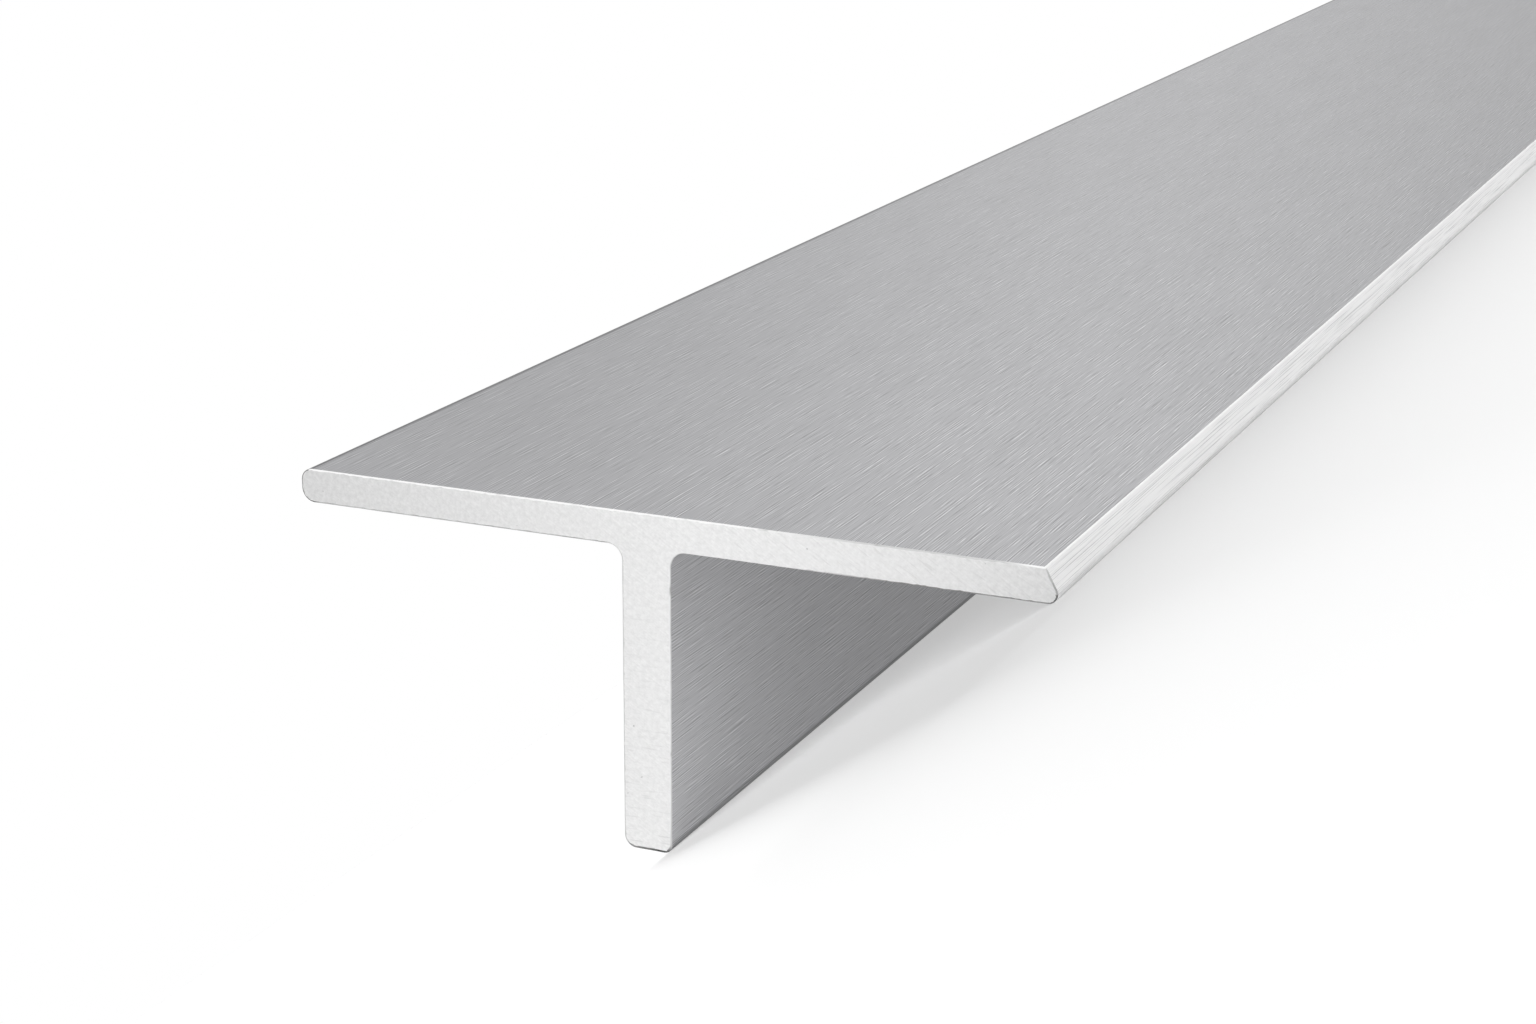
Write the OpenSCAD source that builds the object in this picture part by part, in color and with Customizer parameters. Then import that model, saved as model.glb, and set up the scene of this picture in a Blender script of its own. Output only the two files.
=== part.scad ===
// T-section bar of bare extruded aluminium, sawn square at both ends.
// A flat flange carries one web, a little off the flange's middle. One tip of the flange is square
// with rounded corners, and the other leans in as a bevel.
// The bar lies as it comes to rest on a floor: on the foot of its web and its bevelled tip.
// Millimetres. Y runs along the bar, Z is up, and the floor is at Z = 0 under the bar's middle.

/* [Bar] */
// Length between the sawn ends
bar_length = 1000; // [100:10:3000]
// Height of the section, from the foot of the web to the top of the flange
bar_height = 20; // [12:0.5:50]

/* [Flange] */
// Width from tip to tip
flange_width = 46; // [30:0.5:80]
// Thickness of the flange
flange_thickness = 2; // [1.5:0.1:5]
// Rounding of the tips
tip_radius = 0.55; // [0.2:0.05:1]
// How far the bevelled tip leans in at the top
bevel_width = 0.7; // [0.3:0.05:1.5]
// How far down the tip the bevel reaches
bevel_height = 1.3; // [0.5:0.05:2.5]

/* [Web] */
// Thickness of the web
web_thickness = 3; // [1.5:0.1:6]
// Place of the web's middle, from the flange's middle towards the bevelled tip
web_offset = -0.8; // [-4:0.1:4]
// Fillets in the two angles under the flange
root_radius = 0.9; // [0.3:0.1:3]
// Rounding of the foot's corners
foot_radius = 0.5; // [0.2:0.05:1]

/* [Hidden] */
$fn = 64;

// The flange's tips, its underside and the web's two sides
tip_x = flange_width / 2;
under_flange = bar_height - flange_thickness;
web_left = web_offset - web_thickness / 2;
web_right = web_offset + web_thickness / 2;

// Radii and the bevel stay within the walls that they are on
tip_r = min(tip_radius, 0.3 * flange_thickness);
foot_r = min(foot_radius, 0.4 * web_thickness);
root_r = min(root_radius, 0.4 * under_flange);
bevel_drop = min(bevel_height, flange_thickness - 1.2 * tip_r);

// Corners of the upright section, from the foot's left corner round by the bevelled tip, with their
// radii. The two ends of the bevel are left crisp.
corners = [
    [[web_left, 0], foot_r],
    [[web_right, 0], foot_r],
    [[web_right, under_flange], root_r],
    [[tip_x, under_flange], tip_r],
    [[tip_x, bar_height - bevel_drop], 0],
    [[tip_x - bevel_width, bar_height], 0],
    [[-tip_x, bar_height], tip_r],
    [[-tip_x, under_flange], tip_r],
    [[web_left, under_flange], root_r],
];

// The bar leans until the rounded corners of its foot and its bevelled tip are level on the floor
foot_pivot = [web_right - foot_r, foot_r];
tip_pivot = [tip_x - tip_r, under_flange + tip_r];
reach = tip_pivot - foot_pivot;
lean = atan2(reach[1], reach[0]) - asin((tip_r - foot_r) / norm(reach));

// A point of the upright section once the bar leans
function leant(p) = [p[0] * cos(lean) + p[1] * sin(lean), p[1] * cos(lean) - p[0] * sin(lean)];

// The floor under the leaning bar, and the middle of its width
floor_z = leant(foot_pivot)[1] - foot_r;
bevel_side = max(leant(corners[5][0])[0], leant(tip_pivot)[0] + tip_r);
square_side = leant([-tip_x + tip_r, under_flange + tip_r])[0] - tip_r;
middle_x = (bevel_side + square_side) / 2;

// The corner's place, counted round the section
function corner(i) = corners[(i + len(corners)) % len(corners)][0];

// Unit vector from one point towards another
function toward(a, b) = (b - a) / norm(b - a);

// 1 where the outline turns round solid metal, and -1 in the two angles under the flange
function turn(i) = sign(cross(corner(i) - corner(i - 1), corner(i + 1) - corner(i)));

// The sliver between a corner and the arc that rounds it, carried a little past the corner
module corner_sliver(i) {
    p = corner(i);
    r = corners[i][1];
    a = toward(p, corner(i - 1));
    b = toward(p, corner(i + 1));
    half_angle = acos(a * b) / 2;
    arc_end = r / tan(half_angle);
    arc_centre = p + toward([0, 0], a + b) * r / sin(half_angle);
    difference() {
        polygon([p - (a + b) * r, p + a * arc_end, arc_centre, p + b * arc_end]);
        translate(arc_centre) circle(r);
    }
}

// All the slivers on one kind of corner
module slivers(kind) {
    for (i = [0 : len(corners) - 1])
        if (turn(i) == kind && corners[i][1] > 0) corner_sliver(i);
}

// The die's shape: the sharp T, filled in its two angles and rounded at its other corners
module section() {
    difference() {
        union() {
            polygon([for (c = corners) c[0]]);
            slivers(-1);
        }
        slivers(1);
    }
}

// The bar, extruded along Y, sawn square and laid on the floor
module t_bar() {
    color([0.77, 0.78, 0.79])
        translate([-middle_x, 0, -floor_z])
            rotate([0, lean, 0])
                rotate([90, 0, 0])
                    linear_extrude(height = bar_length, center = true)
                        section();
}

t_bar();
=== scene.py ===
# A length of aluminium T-bar, lying on a pale studio floor.
import math

import bpy
import numpy as np
from mathutils import Matrix, Vector


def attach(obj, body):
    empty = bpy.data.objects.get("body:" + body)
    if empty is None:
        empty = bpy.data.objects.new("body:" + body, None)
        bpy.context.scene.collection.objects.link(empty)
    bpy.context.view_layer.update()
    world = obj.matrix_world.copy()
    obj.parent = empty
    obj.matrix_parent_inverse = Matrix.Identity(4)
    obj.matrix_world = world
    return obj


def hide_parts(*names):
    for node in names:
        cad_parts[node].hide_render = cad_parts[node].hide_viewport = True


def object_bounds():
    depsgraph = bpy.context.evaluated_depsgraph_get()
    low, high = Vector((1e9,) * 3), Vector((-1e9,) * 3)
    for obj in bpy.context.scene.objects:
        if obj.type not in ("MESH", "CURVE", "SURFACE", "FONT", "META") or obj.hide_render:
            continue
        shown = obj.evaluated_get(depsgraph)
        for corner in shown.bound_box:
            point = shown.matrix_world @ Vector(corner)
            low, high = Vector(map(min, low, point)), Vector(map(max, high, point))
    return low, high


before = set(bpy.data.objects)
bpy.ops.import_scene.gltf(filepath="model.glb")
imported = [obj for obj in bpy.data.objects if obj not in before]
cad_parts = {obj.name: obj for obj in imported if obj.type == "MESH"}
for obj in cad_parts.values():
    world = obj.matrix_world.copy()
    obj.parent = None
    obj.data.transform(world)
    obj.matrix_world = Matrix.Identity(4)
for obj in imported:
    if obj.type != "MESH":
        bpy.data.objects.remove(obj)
cad_low, cad_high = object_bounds()

# The bar's shape: aluminium pushed hot through a T-shaped die, stretched straight and sawn square.
# The web stands a little off the flange's middle. One tip of the flange is square and the other is bevelled.
# The bar lies as it comes to rest, on the foot of its web and its bevelled tip.
MM = 0.001
bar_height = 20 * MM
flange_width = 46 * MM
flange_thickness = 2 * MM
bevel_width = 0.7 * MM
bevel_height = 1.3 * MM
web_thickness = 3 * MM
web_offset = -0.8 * MM
foot_left_radius = 0.75 * MM
foot_right_radius = 0.5 * MM
root_radius = 0.9 * MM
tip_radius = 0.55 * MM
bevel_foot_radius = 0.5 * MM
crest_radius = 0.15 * MM
square_top_radius = 0.68 * MM
square_foot_radius = 0.85 * MM

tip_x = flange_width / 2
under_flange = bar_height - flange_thickness
web_left = web_offset - web_thickness / 2
web_right = web_offset + web_thickness / 2

# The die's corners from the foot's left one round by the bevelled tip: across, up, and the rounding
die = np.array([
    (web_left, 0, foot_left_radius),
    (web_right, 0, foot_right_radius),
    (web_right, under_flange, root_radius),
    (tip_x, under_flange, tip_radius),
    (tip_x, bar_height - bevel_height, bevel_foot_radius),
    (tip_x - bevel_width, bar_height, crest_radius),
    (-tip_x, bar_height, square_top_radius),
    (-tip_x, under_flange, square_foot_radius),
    (web_left, under_flange, root_radius),
])
die_corners = die[:, :2]
die_radii = die[:, 2]

# Places on the outline: a corner's rounding has its row in the die, and the flat after it half a row more
FOOT_LEFT = 0
FOOT_RIGHT = 1
WEB_RIGHT = 1.5
RIGHT_UNDERSIDE = 2.5
TIP_FOOT = 3
CREST = 5
TOP = 5.5
SQUARE_TOP = 6
SQUARE_SIDE = 6.5
SQUARE_FOOT = 7
LEFT_UNDERSIDE = 7.5


def unit(vectors):
    """Each vector divided by its own length."""
    return vectors / np.linalg.norm(vectors, axis=-1, keepdims=True)


def die_outline(corners, radii, arc_steps, flat_step):
    """The section's outline, anticlockwise, and the place of each point on it: corner k's arc has place k,
    and the flat after it has place k + 0.5. An arc's centre is on the angle's bisector, at the radius over
    the sine of half the angle, and a point of it is the weighted sum of its two end spokes, with weights
    sin((1 - t) sweep) / sin(sweep) and sin(t sweep) / sin(sweep)."""
    to_last = unit(np.roll(corners, 1, axis=0) - corners)
    to_next = unit(np.roll(corners, -1, axis=0) - corners)
    half_angle = np.arccos((to_last * to_next).sum(axis=1))[:, None] / 2
    radius = radii[:, None]
    centre = corners + unit(to_last + to_next) * radius / np.sin(half_angle)
    first = corners + to_last * radius / np.tan(half_angle)
    final = corners + to_next * radius / np.tan(half_angle)
    sweep = math.pi - 2 * half_angle
    t = np.linspace(0, 1, arc_steps + 1)
    first_weight = np.sin((1 - t) * sweep) / np.sin(sweep)
    final_weight = np.sin(t * sweep) / np.sin(sweep)
    arcs = centre[:, None] + first_weight[..., None] * (first - centre)[:, None]
    arcs += final_weight[..., None] * (final - centre)[:, None]
    gaps = np.roll(first, -1, axis=0) - final
    points = []
    places = []
    for k, gap in enumerate(gaps):
        steps = max(1, round(np.linalg.norm(gap) / flat_step))
        share = np.arange(1, steps) / steps
        points += [arcs[k], final[k] + share[:, None] * gap]
        places += [np.full(arc_steps + 1, float(k)), np.full(steps - 1, k + 0.5)]
    return np.concatenate(points), np.concatenate(places)


outline, place = die_outline(die_corners, die_radii, arc_steps=9, flat_step=0.22 * MM)
across, up = outline.T
step_on = np.roll(outline, -1, axis=0) - outline
along_outline = np.concatenate([[0], np.cumsum(np.linalg.norm(step_on, axis=1))])
girth = along_outline[-1]
tangent = unit(np.roll(outline, -1, axis=0) - np.roll(outline, 1, axis=0))
outward = np.stack([tangent[:, 1], -tangent[:, 0]], axis=1)

# The sawn ends have a broken edge: a quarter round, wider round the foot and narrower along the top
broken_edge = 0.09 * MM
broken_steps = 4
bar_start = cad_low.y
bar_end = cad_high.y
turn = np.linspace(0, math.pi / 2, broken_steps + 1)
edge_inset = broken_edge * (1 - np.sin(turn))
edge_y = broken_edge * (1 - np.cos(turn))
ring_gap = 20 * MM
ring_count = round((bar_end - bar_start) / ring_gap)
middle_y = np.linspace(bar_start + broken_edge, bar_end - broken_edge, ring_count + 1)[1:-1]
ring_y = np.concatenate([bar_start + edge_y, middle_y, (bar_end - edge_y)[::-1]])
ring_inset = np.concatenate([edge_inset, np.zeros(len(middle_y)), edge_inset[::-1]])
break_share = np.interp(up, np.array([0, 1, 19, 20]) * MM, [1.7, 1.0, 1.0, 0.75])

# The die's bearing draws shallow lines along the bar, which fade in and out, and the saw's teeth leave the
# broken edge a little ragged
draws = np.random.default_rng(11)
line_count = 90
line_place = draws.uniform(0, girth, line_count)
line_width = draws.uniform(0.2, 0.5, line_count) * MM
line_depth = draws.uniform(0.003, 0.012, line_count) * MM
line_wave = draws.uniform(150, 600, line_count) * MM
line_phase = draws.uniform(0, 2 * math.pi, line_count)
ragged_swing = 0.2
ragged_count = 24
ragged_waves = draws.integers(40, 900, ragged_count)
ragged_phase = draws.uniform(0, 2 * math.pi, ragged_count)


def die_lines(round_girth, along):
    """Depth of the lines: the sum over all lines of depth x exp(-(distance across / width) squared), times
    a slow wave along the bar between nothing and the full depth."""
    groove = line_depth[:, None] * np.exp(-((round_girth - line_place[:, None]) / line_width[:, None]) ** 2)
    fade = 0.5 + 0.5 * np.sin(2 * math.pi * along[:, None] / line_wave + line_phase)
    return fade @ groove


def ragged(round_girth):
    """A share about 0 that wanders round the outline: the mean of many whole waves round the girth, times
    the root of their count and the swing."""
    waves = np.sin(2 * math.pi * ragged_waves[:, None] * round_girth / girth + ragged_phase[:, None])
    return ragged_swing * waves.mean(axis=0) * math.sqrt(ragged_count)


inset = ring_inset[:, None] * (break_share + ragged(along_outline[:-1]))
inset = inset + die_lines(along_outline[:-1], ring_y)
upright = outline - inset[..., None] * outward

# The bar leans until the roundings of its foot and its bevelled tip are level on the floor. The middle of
# the solid's width, whose square tip has the other tip's rounding, is at x = 0.
foot_pivot = np.array([web_right - foot_right_radius, foot_right_radius])
tip_pivot = np.array([tip_x - tip_radius, under_flange + tip_radius])
square_pivot = np.array([tip_radius - tip_x, tip_pivot[1]])
reach = tip_pivot - foot_pivot
lean = math.atan2(reach[1], reach[0]) - math.asin((tip_radius - foot_right_radius) / np.linalg.norm(reach))
floor_drop = foot_pivot[1] * math.cos(lean) - foot_pivot[0] * math.sin(lean) - foot_right_radius
laid_crest = (tip_x - bevel_width) * math.cos(lean) + bar_height * math.sin(lean)
laid_tip = tip_pivot[0] * math.cos(lean) + tip_pivot[1] * math.sin(lean) + tip_radius
laid_square = square_pivot[0] * math.cos(lean) + square_pivot[1] * math.sin(lean) - tip_radius
middle_x = (max(laid_crest, laid_tip) + laid_square) / 2
laid = Matrix.Translation((-middle_x, 0, -floor_drop)) @ Matrix.Rotation(lean, 4, "Y")

rings = len(ring_y)
around = len(outline)
points = np.empty((rings, around, 3))
points[..., 0] = upright[..., 0]
points[..., 1] = ring_y[:, None]
points[..., 2] = upright[..., 1]
laid_rows = np.array(laid)
points = points @ laid_rows[:3, :3].T + laid_rows[:3, 3]

number = np.arange(rings * around).reshape(rings, around)
number_on = np.roll(number, -1, axis=1)
skins = np.stack([number[:-1], number[1:], number_on[1:], number_on[:-1]], axis=-1).reshape(-1, 4)
near_cap = number[0]
far_cap = number[-1][::-1]
bar_mesh = bpy.data.meshes.new("t_bar_metal")
bar_mesh.from_pydata(points.reshape(-1, 3), [], skins.tolist() + [near_cap.tolist(), far_cap.tolist()])

# The map on the metal: metres round the outline and along the bar, or across the section on the sawn ends
u_here = np.broadcast_to(along_outline[:-1], (rings - 1, around))
u_on = np.broadcast_to(along_outline[1:], (rings - 1, around))
v_here = np.broadcast_to(ring_y[:-1, None], (rings - 1, around))
v_on = np.broadcast_to(ring_y[1:, None], (rings - 1, around))
skin_u = np.stack([u_here, u_here, u_on, u_on], axis=-1).reshape(-1)
skin_v = np.stack([v_here, v_on, v_on, v_here], axis=-1).reshape(-1)
cap_uv = np.concatenate([upright[0], upright[-1][::-1]])
map_uv = np.concatenate([np.stack([skin_u, skin_v], axis=1), cap_uv])
metal_map = bar_mesh.uv_layers.new(name="metal_map")
metal_map.data.foreach_set("uv", map_uv.astype(np.float32).reshape(-1))

# Which finish each face has. The tips carry a painted highlight: all of the bevelled one, and the side of
# the square one.
MILL_SKIN, SAWN_END, PAINTED_HIGHLIGHT_EDGE, BROKEN_EDGE = range(4)
face_place = np.where(place == np.roll(place, -1), place, np.floor(place) + 0.5)
# The faces that get the painted highlight
highlighted_tips = (face_place >= TIP_FOOT) & (face_place <= CREST) | (face_place == SQUARE_SIDE)
finish = np.broadcast_to(np.where(highlighted_tips, PAINTED_HIGHLIGHT_EDGE, MILL_SKIN), (rings - 1, around)).copy()
finish[:broken_steps] = BROKEN_EDGE
finish[-broken_steps:] = BROKEN_EDGE
face_finish = np.concatenate([finish.reshape(-1), [SAWN_END, SAWN_END]])
bar_mesh.polygons.foreach_set("material_index", face_finish.astype(np.int32))
bar_mesh.polygons.foreach_set("use_smooth", face_finish != SAWN_END)


def mark_bar(name, share):
    """Keeps a share for each point of the outline, the same all along the bar, as a mesh attribute."""
    layer = bar_mesh.attributes.new(name, "FLOAT", "POINT")
    shares = np.broadcast_to(share, (rings, around)).astype(np.float32)
    layer.data.foreach_set("value", shares.reshape(-1))


# How far the broken edge is darkened, partly by burr and partly as painted shade, instead of carrying the
# painted highlight line: on each rounding of the die, then on the flat after it. It is a painted contact
# shadow at the bottom of the foot's roundings and thins out up them, grows along the right underside towards
# the bevelled tip, and fades where the edge turns up, which is late on the square tip. Along a stretch of
# the top the painted highlight is a little dimmed.
burr_and_shade_shares = np.array([
    (1, 1),
    (1, 0.15),
    (0.2, 0.8),
    (0.9, 0.7),
    (0.5, 0.4),
    (0.2, 0),
    (1, 1),
    (1, 0.7),
    (0.5, 0.5),
])
# Painted contact shadow along the bottom of the foot's roundings
foot_painted_shadow = np.interp(up, np.array([0.1, 0.55]) * MM, [1, 0.2])
underside_burr_and_shade = np.interp(across, np.array([8, 14]) * MM, [0.15, 0.8])
# Where the painted highlight along the top is dimmed
dimmed_highlight_stretch = np.interp(across, np.array([5, 12, 20, 21.5]) * MM, [0, 0.4, 0.4, 0])
fade_start = np.where(place == SQUARE_TOP, 0.93, 0.5)
fade_end = np.where(place == SQUARE_TOP, 0.99, 0.9)
edge_burr_and_shade = burr_and_shade_shares.reshape(-1)[(2 * place).astype(int)]
edge_burr_and_shade = np.where(place == FOOT_LEFT, np.maximum(foot_painted_shadow, 0.5), edge_burr_and_shade)
edge_burr_and_shade = np.where(place == FOOT_RIGHT, foot_painted_shadow, edge_burr_and_shade)
edge_burr_and_shade = np.where(place == RIGHT_UNDERSIDE, underside_burr_and_shade, edge_burr_and_shade)
edge_burr_and_shade = edge_burr_and_shade * np.clip((fade_end - outward[:, 1]) / (fade_end - fade_start), 0, 1)
mark_bar("burr_and_shade", np.where(place == TOP, dimmed_highlight_stretch, edge_burr_and_shade))

# How far the bevel's crest carries a painted white highlight, the outer roundings that are painted dark as
# painted shade, and the sides under the flange, which are painted paler as painted light
crest_highlight_width = 0.14 * MM
crest_gap = np.linalg.norm(outline - die_corners[CREST], axis=1)
mark_bar("painted_crest_highlight", np.exp(-(crest_gap / crest_highlight_width) ** 2))
# Painted shade on the outer roundings: a dark reflection painted into their colour
shaded_roundings = np.array([FOOT_LEFT, FOOT_RIGHT, SQUARE_TOP, SQUARE_FOOT])
rounding_shade_shares = np.array([0.12, 0.12, 0.7, 0.3])
mark_bar("painted_shade_rounding", (place[:, None] == shaded_roundings) @ rounding_shade_shares)
# Painted light: the sides under the flange get a paler copy of the skin
mark_bar("painted_light_under_flange", (place >= LEFT_UNDERSIDE) | (place >= WEB_RIGHT) & (place <= RIGHT_UNDERSIDE))
bar_mesh.update()
bar = bpy.data.objects.new("t_bar_metal", bar_mesh)
bpy.context.scene.collection.objects.link(bar)


# The bar's finishes: bare mill metal drawn out in fine strokes, painted bright along the flange's tips as a
# painted highlight, and paler where the saw cut it. The strokes are one node group, which three finishes use
# at their own sizes.
def add_node(tree, kind, sockets=None, **settings):
    """A node with its settings, whose sockets take values or links."""
    made = tree.nodes.new(kind)
    for name, value in settings.items():
        setattr(made, name, value)
    for name, value in (sockets or {}).items():
        if isinstance(value, bpy.types.NodeSocket):
            tree.links.new(value, made.inputs[name])
        else:
            made.inputs[name].default_value = value
    return made


def reckoned(tree, operation, *values):
    """One step of arithmetic on values or links."""
    return add_node(tree, "ShaderNodeMath", dict(enumerate(values)), operation=operation).outputs[0]


def ranged(tree, value, span, onto=(0.0, 1.0)):
    """The value carried from the span onto another range, and held at its ends."""
    return add_node(
        tree, "ShaderNodeMapRange",
        {"Value": value, "From Min": span[0], "From Max": span[1], "To Min": onto[0], "To Max": onto[1]},
    ).outputs["Result"]


def flat_noise(tree, spot, scale, detail, roughness):
    """A noise about 0.5 over the spot's two coordinates, with lumps the size of 1 over the scale."""
    return add_node(
        tree, "ShaderNodeTexNoise",
        {"Vector": spot, "Scale": scale, "Detail": detail, "Roughness": roughness},
        noise_dimensions="2D").outputs["Fac"]


def drawn_strokes():
    """The map is turned, then divided by the strokes' width and length. Ridges are a noise over that, twice
    as long, less the same noise half a width to the side, so that no stroke is wide. Patches are a noise 3
    times as wide and about 0.8 times as long. Strokes are 0.5 plus the patches times the ridges, which are
    carried onto -0.5 to 0.5. The ridges' peaks times the patches are painted glints, bright hairlines of
    painted highlight, and Scores are the rarest peaks of another noise times the patches. Clouds are a slow
    noise, 30 times as wide and 6 times as long."""
    group = bpy.data.node_groups.new("drawn_strokes", "ShaderNodeTree")
    for name in ("Stroke Width", "Stroke Length", "Turn"):
        group.interface.new_socket(name, in_out="INPUT", socket_type="NodeSocketFloat")
    for name in ("Strokes", "Painted Glints", "Scores", "Clouds"):
        group.interface.new_socket(name, in_out="OUTPUT", socket_type="NodeSocketFloat")
    given = add_node(group, "NodeGroupInput").outputs
    result = add_node(group, "NodeGroupOutput").inputs
    metal_uv = add_node(group, "ShaderNodeUVMap", uv_map="metal_map").outputs["UV"]
    turned = add_node(
        group, "ShaderNodeVectorRotate",
        {"Vector": metal_uv, "Angle": given["Turn"]}, rotation_type="Z_AXIS").outputs["Vector"]
    parts = add_node(group, "ShaderNodeSeparateXYZ", {"Vector": turned}).outputs
    widths = reckoned(group, "DIVIDE", parts["X"], given["Stroke Width"])
    lengths = reckoned(group, "DIVIDE", parts["Y"], given["Stroke Length"])
    stretched = add_node(group, "ShaderNodeCombineXYZ", {"X": widths, "Y": lengths}).outputs[0]

    def noise(scale, shift, detail):
        spread = add_node(
            group, "ShaderNodeVectorMath", {0: stretched, 1: scale, 2: shift}, operation="MULTIPLY_ADD")
        return flat_noise(group, spread.outputs[0], scale=1.0, detail=detail, roughness=0.6)

    patches = ranged(group, noise((1 / 3, 1.3, 0), (5, 3, 0), 1.0), (0.35, 0.65), (0.15, 1.0))
    ridge = noise((1, 0.5, 0), (0, 0, 0), 0.0)
    beside = noise((1, 0.5, 0), (0.5, 0, 0), 0.0)
    ridges = reckoned(group, "SUBTRACT", ridge, beside)
    swing = ranged(group, ridges, (-0.3, 0.3), (-0.5, 0.5))
    peaks = ranged(group, ridges, (0.25, 0.42))
    rare_peaks = ranged(group, noise((0.9, 1, 0), (71, 43, 0), 0.0), (0.64, 0.78))
    outputs = {
        "Strokes": reckoned(group, "MULTIPLY_ADD", swing, patches, 0.5),
        "Painted Glints": reckoned(group, "MULTIPLY", peaks, patches),
        "Scores": reckoned(group, "MULTIPLY", rare_peaks, patches),
        "Clouds": noise((1 / 30, 1 / 6, 0), (9, 2, 0), 2.0),
    }
    for name, value in outputs.items():
        group.links.new(value, result[name])
    return group


stroke_group = drawn_strokes()


def place_strokes(tree, width, length, turn=0.0):
    """The strokes' group in a finish, with strokes of that width and length in metres."""
    return add_node(
        tree, "ShaderNodeGroup", node_tree=stroke_group,
        sockets={"Stroke Width": width, "Stroke Length": length, "Turn": turn}).outputs


def new_finish(name):
    """A material with its Principled shader, metallic all over."""
    material = bpy.data.materials.new(name)
    material.use_nodes = True
    shader = material.node_tree.nodes["Principled BSDF"]
    shader.inputs["Metallic"].default_value = 1.0
    return material, material.node_tree, shader


def marked(tree, name):
    """What mark_bar kept under the name."""
    return add_node(tree, "ShaderNodeAttribute", attribute_name=name).outputs["Fac"]


def mixed(tree, share, first, second):
    """The colour that goes from the first to the second as the share goes from 0 to 1. The Mix node's colour
    sockets are inputs 6 and 7 and output 2."""
    made = add_node(tree, "ShaderNodeMix", {"Factor": share}, data_type="RGBA")
    for socket, colour in ((made.inputs[6], first), (made.inputs[7], second)):
        if isinstance(colour, bpy.types.NodeSocket):
            tree.links.new(colour, socket)
        else:
            socket.default_value = (*colour, 1)
    return made.outputs[2]


def scratched_normal(tree, height, strength):
    """A normal bent by the height, as a bump a hundredth of a millimetre deep."""
    sockets = {"Height": height, "Strength": strength, "Distance": 0.01 * MM}
    return add_node(tree, "ShaderNodeBump", sockets).outputs["Normal"]


# Mill skin: the grey that the die and the brush leave on the flange, the web and their fillets, with painted
# glints of bright hairlines. The sides under the flange are painted paler, as painted light, and the outer
# roundings are painted dark, as painted shade.
open_dark = (0.31, 0.31, 0.318)
open_pale = (0.67, 0.67, 0.686)
lit_underside_dark = (0.49, 0.49, 0.502)
lit_underside_pale = (0.95, 0.95, 0.972)
cloud_dark = (0.43, 0.43, 0.44)
cloud_pale = (0.56, 0.56, 0.574)
cloud_share = 0.15
score_tone = (0.25, 0.25, 0.257)
painted_glint_tone = (0.95, 0.95, 0.96)
rounding_shade_tone = (0.17, 0.17, 0.175)
mill_skin, tree, shader = new_finish("mill_skin")
drawn = place_strokes(tree, width=0.095 * MM, length=2.6 * MM)
brushed_tone = mixed(tree, drawn["Strokes"], open_dark, open_pale)
# Painted light: a paler copy of the skin for the sides under the flange
painted_light_tone = mixed(tree, drawn["Strokes"], lit_underside_dark, lit_underside_pale)
skin_tone = mixed(tree, marked(tree, "painted_light_under_flange"), brushed_tone, painted_light_tone)
cloud_tone = mixed(tree, ranged(tree, drawn["Clouds"], (0.3, 0.7)), cloud_dark, cloud_pale)
skin_tone = mixed(tree, cloud_share, skin_tone, cloud_tone)
skin_tone = mixed(tree, ranged(tree, drawn["Scores"], (0, 1), (0, 0.12)), skin_tone, score_tone)
# Painted glints: bright hairlines on the strokes' peaks
skin_tone = mixed(tree, ranged(tree, drawn["Painted Glints"], (0, 1), (0, 0.45)), skin_tone, painted_glint_tone)
# Painted shade on the outer roundings
skin_tone = mixed(tree, marked(tree, "painted_shade_rounding"), skin_tone, rounding_shade_tone)
tree.links.new(skin_tone, shader.inputs["Base Color"])
shader.inputs["Specular Tint"].default_value = (0.55, 0.55, 0.55, 1)
tree.links.new(ranged(tree, drawn["Strokes"], (0.2, 0.8), (0.48, 0.38)), shader.inputs["Roughness"])
tree.links.new(scratched_normal(tree, drawn["Strokes"], 0.2), shader.inputs["Normal"])
bar_mesh.materials.append(mill_skin)


# Sawn end: pale fresh metal with fine grain and a few dark pits, with painted shade darkening it towards the
# square tip. The saw leaves faint slanting scores, most towards the bevelled tip, and faint level ones, dark
# and with painted glints, most towards the foot.
def grey(level):
    """A neutral grey."""
    return (level, level, level)


saw_slant = math.radians(-58)
saw_level = math.radians(90)
sawn_end, tree, shader = new_finish("sawn_end")
end_map = add_node(tree, "ShaderNodeUVMap", uv_map="metal_map").outputs["UV"]
end_spot = add_node(tree, "ShaderNodeSeparateXYZ", {"Vector": end_map}).outputs
grain = flat_noise(tree, end_map, scale=3500.0, detail=3.0, roughness=0.7)
pits = flat_noise(tree, end_map, scale=2200.0, detail=1.0, roughness=0.5)
slanting = place_strokes(tree, width=0.11 * MM, length=1.3 * MM, turn=saw_slant)
level_lines = place_strokes(tree, width=0.12 * MM, length=1.5 * MM, turn=saw_level)
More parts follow.
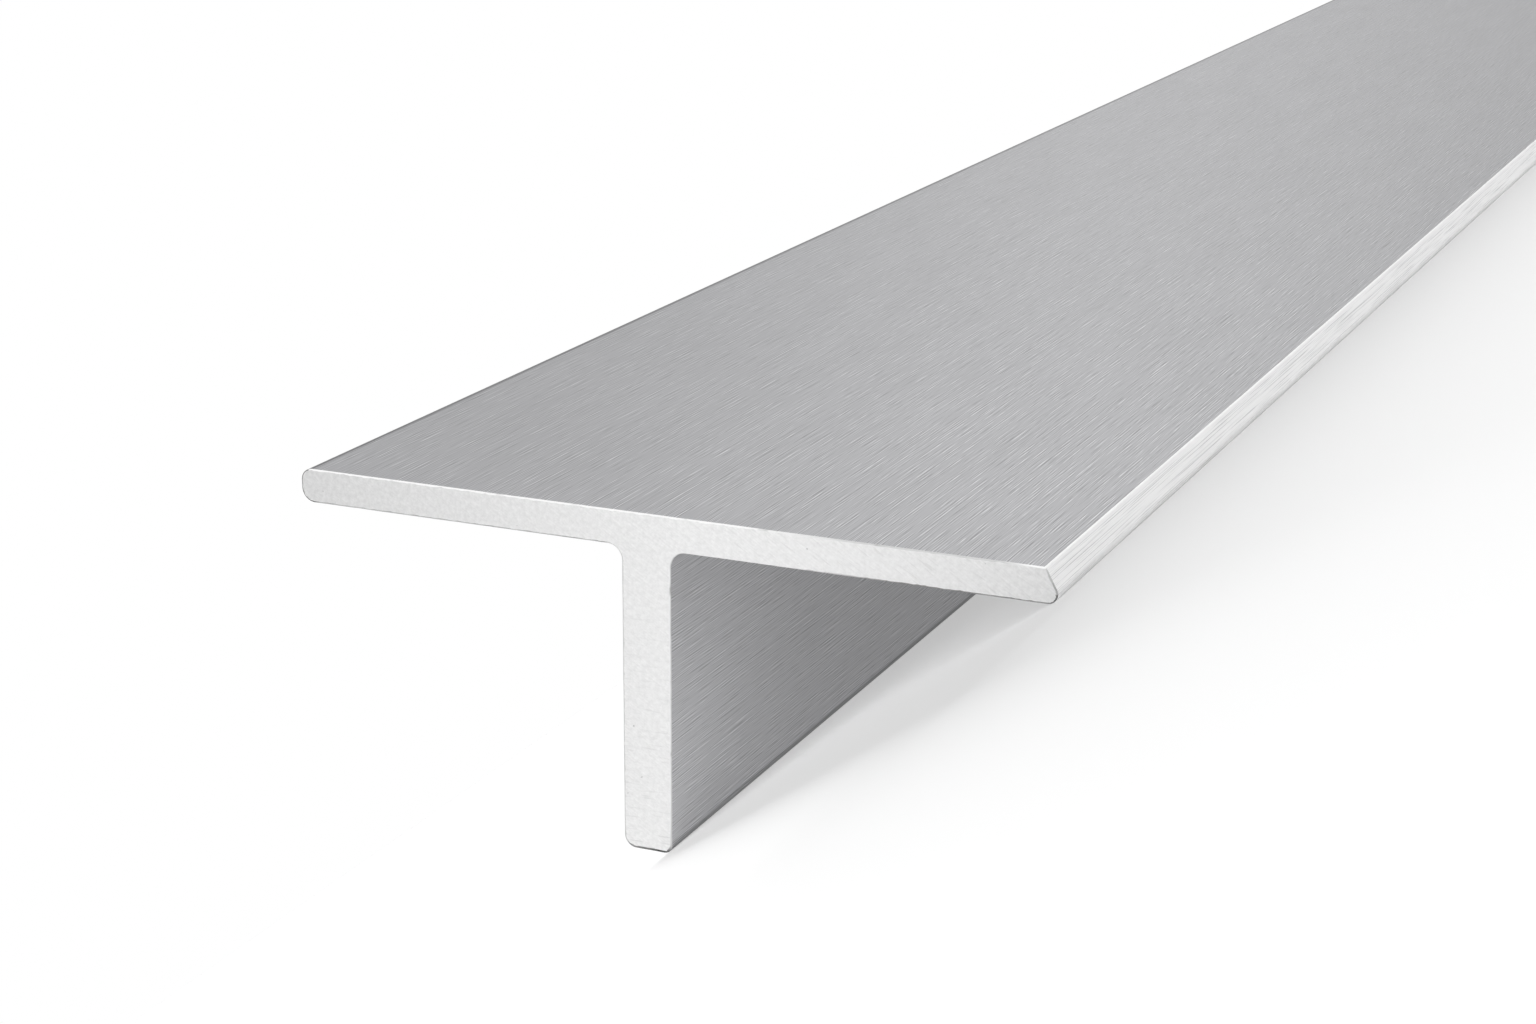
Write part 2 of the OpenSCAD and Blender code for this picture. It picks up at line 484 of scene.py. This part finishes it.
# Painted shade: the sawn end darker towards the square tip
end_shade_side = ranged(tree, end_spot["X"], (-tip_x, 2 * MM), (0.9, 0.0))
scored_side = ranged(tree, end_spot["X"], (0.0, 9 * MM), (0.05, 0.22))
foot_share = ranged(tree, end_spot["Y"], (1 * MM, 17 * MM), (0.35, 0.05))
grain_share = ranged(tree, grain, (0.3, 0.7))
fresh_tone = mixed(tree, grain_share, grey(0.82), grey(0.93))
end_shade_tone = mixed(tree, grain_share, grey(0.62), grey(0.75))
end_tone = mixed(tree, end_shade_side, fresh_tone, end_shade_tone)
end_tone = mixed(tree, ranged(tree, slanting["Strokes"], (0.2, 0.8), (0.14, 0)), end_tone, grey(0.66))
end_tone = mixed(tree, reckoned(tree, "MULTIPLY", slanting["Scores"], scored_side), end_tone, grey(0.5))
end_tone = mixed(tree, reckoned(tree, "MULTIPLY", level_lines["Scores"], foot_share), end_tone, grey(0.55))
# Painted glints along the level saw lines
end_tone = mixed(tree, reckoned(tree, "MULTIPLY", level_lines["Painted Glints"], foot_share), end_tone, grey(1.0))
end_tone = mixed(tree, ranged(tree, pits, (0.85, 0.88), (0, 0.8)), end_tone, grey(0.3))
tree.links.new(end_tone, shader.inputs["Base Color"])
tree.links.new(ranged(tree, grain, (0.3, 0.7), (0.42, 0.56)), shader.inputs["Roughness"])
saw_height = reckoned(tree, "ADD", slanting["Strokes"], grain)
tree.links.new(scratched_normal(tree, saw_height, 0.3), shader.inputs["Normal"])
bar_mesh.materials.append(sawn_end)

# Painted highlight on the flange's tips: the metal painted brighter than the skin, with the die's long fine
# lines in them and a painted white highlight along the bevel's crest
edge_dark = (0.82, 0.82, 0.825)
edge_score = (0.6, 0.6, 0.605)
painted_highlight_edge, tree, shader = new_finish("painted_highlight_edge")
drawn = place_strokes(tree, width=0.07 * MM, length=10 * MM)
# Painted highlight: the tips' metal painted brighter than the skin
edge_tone = mixed(tree, ranged(tree, drawn["Strokes"], (0.15, 0.45)), edge_dark, grey(1.0))
edge_tone = mixed(tree, ranged(tree, drawn["Scores"], (0, 1), (0, 0.2)), edge_tone, edge_score)
# Painted white highlight along the bevel's crest
edge_tone = mixed(tree, marked(tree, "painted_crest_highlight"), edge_tone, grey(1.0))
tree.links.new(edge_tone, shader.inputs["Base Color"])
tree.links.new(ranged(tree, drawn["Strokes"], (0.2, 0.8), (0.95, 0.85)), shader.inputs["Roughness"])
tree.links.new(scratched_normal(tree, drawn["Strokes"], 0.3), shader.inputs["Normal"])
bar_mesh.materials.append(painted_highlight_edge)

# Broken edge: a painted highlight line along the top of a sawn end, and along the rest a thin dark line that
# is partly burr and partly painted shade, both nicked
broken, tree, shader = new_finish("broken_edge")
edge_map = add_node(tree, "ShaderNodeUVMap", uv_map="metal_map").outputs["UV"]
nicks = flat_noise(tree, edge_map, scale=600.0, detail=3.0, roughness=0.6)
# Painted highlight line along the top of a sawn end
painted_highlight_line = mixed(tree, ranged(tree, nicks, (0.28, 0.42)), grey(0.75), grey(1.0))
# Dark edge line: partly burr, partly painted shade
burr_and_painted_shade = mixed(tree, ranged(tree, nicks, (0.3, 0.7)), grey(0.06), grey(0.3))
tree.links.new(mixed(tree, marked(tree, "burr_and_shade"), painted_highlight_line, burr_and_painted_shade), shader.inputs["Base Color"])
tree.links.new(ranged(tree, nicks, (0.3, 0.7), (0.3, 0.45)), shader.inputs["Roughness"])
bar_mesh.materials.append(broken)

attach(bar, "root")
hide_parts("t_bar")

# The floor: a plain pale board, wide enough to reach the horizon, which keeps the bar's shadow.
# About half of what the camera and the metal see of it is plain white, so that the shadow stays soft.
floor_half = 8.0
seen_white = 0.5
mirrored_white = 0.43
board_grey = 0.95
floor_corners = [
    (-floor_half, -floor_half, 0),
    (floor_half, -floor_half, 0),
    (floor_half, floor_half, 0),
    (-floor_half, floor_half, 0),
]
floor_mesh = bpy.data.meshes.new("studio_floor")
floor_mesh.from_pydata(floor_corners, [], [(0, 1, 2, 3)])
floor = bpy.data.objects.new("studio_floor", floor_mesh)
bpy.context.scene.collection.objects.link(floor)


def seen_as_background(tree, seen=1.0, mirrored=1.0):
    """The seen share for a camera ray, the mirrored share for a glossy or transmission ray that hasn't met
    the floor yet, and 0 for the rest."""
    path = add_node(tree, "ShaderNodeLightPath").outputs
    bounced = reckoned(tree, "MAXIMUM", path["Is Glossy Ray"], path["Is Transmission Ray"])
    before_floor = reckoned(tree, "LESS_THAN", path["Diffuse Depth"], 0.5)
    mirror = reckoned(tree, "MULTIPLY", bounced, before_floor)
    straight = reckoned(tree, "MULTIPLY", path["Is Camera Ray"], seen)
    return reckoned(tree, "MULTIPLY_ADD", mirror, mirrored, straight)


pale_floor = bpy.data.materials.new("pale_floor")
pale_floor.use_nodes = True
tree = pale_floor.node_tree
tree.nodes.remove(tree.nodes["Principled BSDF"])
board = add_node(tree, "ShaderNodeBsdfDiffuse", {"Color": (*grey(board_grey), 1)})
glow = add_node(tree, "ShaderNodeEmission", {"Color": (1, 1, 1, 1), "Strength": 1.0})
share = seen_as_background(tree, seen_white, mirrored_white)
floor_mix = add_node(tree, "ShaderNodeMixShader", {"Fac": share, 1: board.outputs[0], 2: glow.outputs[0]})
tree.links.new(floor_mix.outputs[0], tree.nodes["Material Output"].inputs["Surface"])
floor_mesh.materials.append(pale_floor)

# The light: an even white room, seen and mirrored at full white. A soft lamp low behind on the left casts
# the bar's shadow on the floor, and one in front softens it and lights the floor under the flange. A panel
# behind the far end is mirrored in the flange's top.
room_fill = 0.1
room = bpy.data.worlds.new("white_room")
bpy.context.scene.world = room
room.use_nodes = True
tree = room.node_tree
level = ranged(tree, seen_as_background(tree), (0, 1), (room_fill, 1.0))
tree.links.new(level, tree.nodes["Background"].inputs["Strength"])
tree.nodes["Background"].inputs["Color"].default_value = (1, 1, 1, 1)


def lamp_direction(azimuth, elevation):
    """The way to a lamp. Azimuth is in degrees from the near end's side towards +X, and elevation is in
    degrees above the floor."""
    a = math.radians(azimuth)
    e = math.radians(elevation)
    return Vector((math.sin(a) * math.cos(e), -math.cos(a) * math.cos(e), math.sin(e)))


def hang_lamp(name, lamp, direction, spot=(0, 0, 0)):
    """Hangs the lamp at its spot, shining back along the direction."""
    hung = bpy.data.objects.new(name, lamp)
    hung.rotation_mode = "QUATERNION"
    hung.rotation_quaternion = direction.to_track_quat("Z", "Y")
    hung.location = spot
    hung.visible_camera = False
    bpy.context.scene.collection.objects.link(hung)
    return hung


def hang_softbox(name, azimuth, elevation, spread, level):
    """A lamp for the floor alone, far off. Its level is what it alone makes of a white floor."""
    softbox = bpy.data.lights.new(name, "SUN")
    softbox.angle = math.radians(spread)
    softbox.energy = level * math.pi / math.sin(math.radians(elevation))
    hang_lamp(name, softbox, lamp_direction(azimuth, elevation)).visible_glossy = False


def hang_panel(name, direction, distance, side, glow):
    """A square panel for the metal alone, at its distance from the near end. A glow of 1 is white."""
    panel = bpy.data.lights.new(name, "AREA")
    panel.shape = "RECTANGLE"
    panel.size = side
    panel.size_y = side
    panel.energy = glow * math.pi * side * side
    near_end = Vector((0, bar_start, 0))
    hang_lamp(name, panel, direction, near_end + distance * direction).visible_diffuse = False


hang_softbox("left_softbox", azimuth=-138, elevation=17, spread=26, level=0.7)
hang_softbox("front_softbox", azimuth=10, elevation=30, spread=45, level=0.32)
panel_direction = laid.to_3x3() @ lamp_direction(azimuth=-164, elevation=20)
hang_panel("back_panel", panel_direction, distance=1.6, side=0.45, glow=0.9)

# The camera: a short telephoto close to the near end. It leans with the bar, so that the bar stands
# upright in the picture. Its place is measured from the near end, in the upright section's frame.
camera_place = (66.645 * MM, bar_start - 137.17 * MM, 65.92 * MM)
camera_yaw = math.radians(23.66)
camera_pitch = math.radians(16.686)
camera_roll = math.radians(0.299)
camera_data = bpy.data.cameras.new("camera")
camera_data.sensor_width = 36
camera_data.lens = 68
camera_data.clip_start = 0.01
camera_data.clip_end = 50
camera = bpy.data.objects.new("camera", camera_data)
bpy.context.scene.collection.objects.link(camera)
aim = Matrix.Rotation(camera_yaw, 4, "Z") @ Matrix.Rotation(math.pi / 2 - camera_pitch, 4, "X")
camera.matrix_world = laid @ Matrix.Translation(camera_place) @ aim @ Matrix.Rotation(camera_roll, 4, "Z")
bpy.context.scene.camera = camera
bpy.context.scene.view_settings.view_transform = "Standard"
